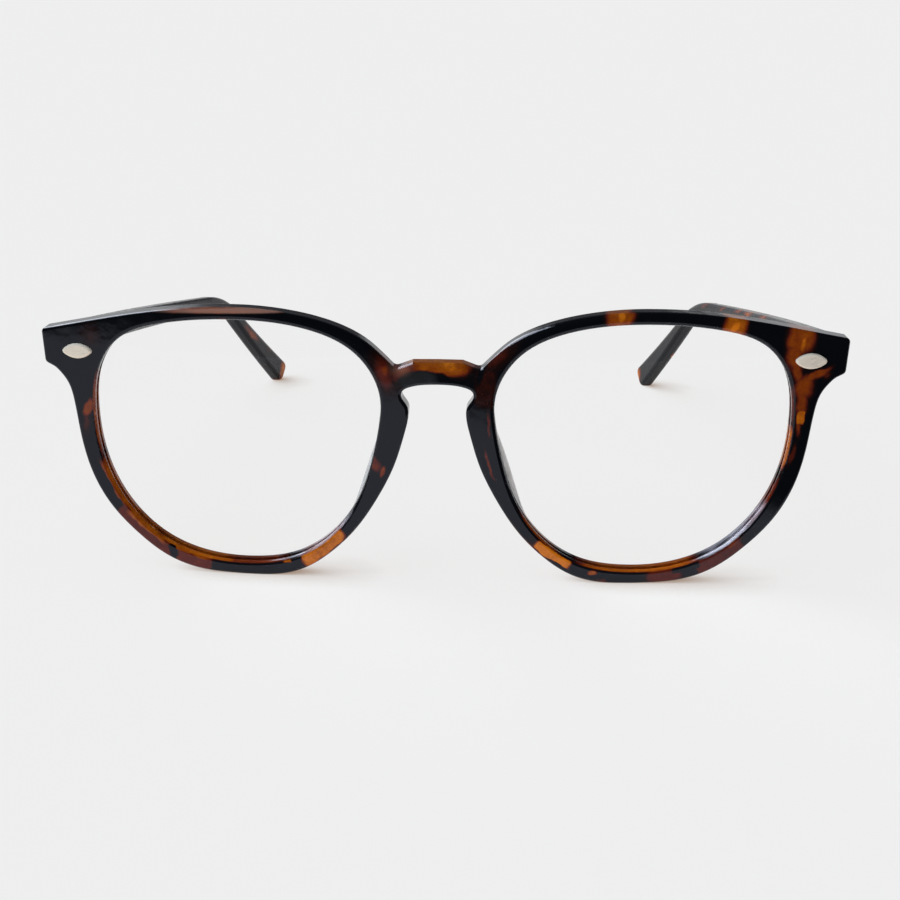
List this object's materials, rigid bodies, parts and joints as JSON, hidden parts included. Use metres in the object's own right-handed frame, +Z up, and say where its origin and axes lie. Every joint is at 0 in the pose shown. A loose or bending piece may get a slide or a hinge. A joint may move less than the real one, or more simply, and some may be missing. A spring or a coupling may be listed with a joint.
{
  "type": "spectacles",
  "caption": "Full-rim spectacles with rounded-hexagon clear lenses, a keyhole bridge and slim folding temples in glossy tortoiseshell plastic.",
  "frame": {"origin": "on the table, under the middle of the object's box", "axes": "+X to the wearer's left, +Y from the front towards the ears, +Z up; the lenses face -Y"},
  "size_m": [0.1396, 0.1376, 0.0494],
  "materials": {
    "tortoiseshell": "polished, black with amber and red-brown patches",
    "lens_clear": "clear with an anti-reflection coat",
    "plaque_metal": "polished silver",
    "hinge_steel": "tumbled",
    "screw_steel": "turned",
    "core_steel": "drawn",
    "nylon": "natural",
    "pad_clear": "translucent, polished"
  },
  "bodies": {
    "front": {"front_frame": "tortoiseshell", "lens_left": "lens_clear", "front_plaque_left": "plaque_metal", "front_hinge_left": "hinge_steel", "hinge_screw_left": "screw_steel", "hinge_washers_left": "nylon", "nose_pad_left": "pad_clear", "lens_right": "lens_clear", "front_plaque_right": "plaque_metal", "front_hinge_right": "hinge_steel", "hinge_screw_right": "screw_steel", "hinge_washers_right": "nylon", "nose_pad_right": "pad_clear"},
    "left_temple": {"temple_left": "tortoiseshell", "temple_core_left": "core_steel", "temple_hinge_left": "hinge_steel", "temple_rivets_left": "screw_steel"},
    "right_temple": {"temple_right": "tortoiseshell", "temple_core_right": "core_steel", "temple_hinge_right": "hinge_steel", "temple_rivets_right": "screw_steel"}
  },
  "joints": [
    {"name": "left_temple_fold", "type": "hinge", "parent": "front", "child": "left_temple", "pos_m": [0.0646, -0.06062, 0.0411], "axis": [0, 0, 1], "range_deg": [0, 83]},
    {"name": "right_temple_fold", "type": "hinge", "parent": "front", "child": "right_temple", "pos_m": [-0.0646, -0.06062, 0.0411], "axis": [0, 0, -1], "range_deg": [0, 78.5]}
  ]
}
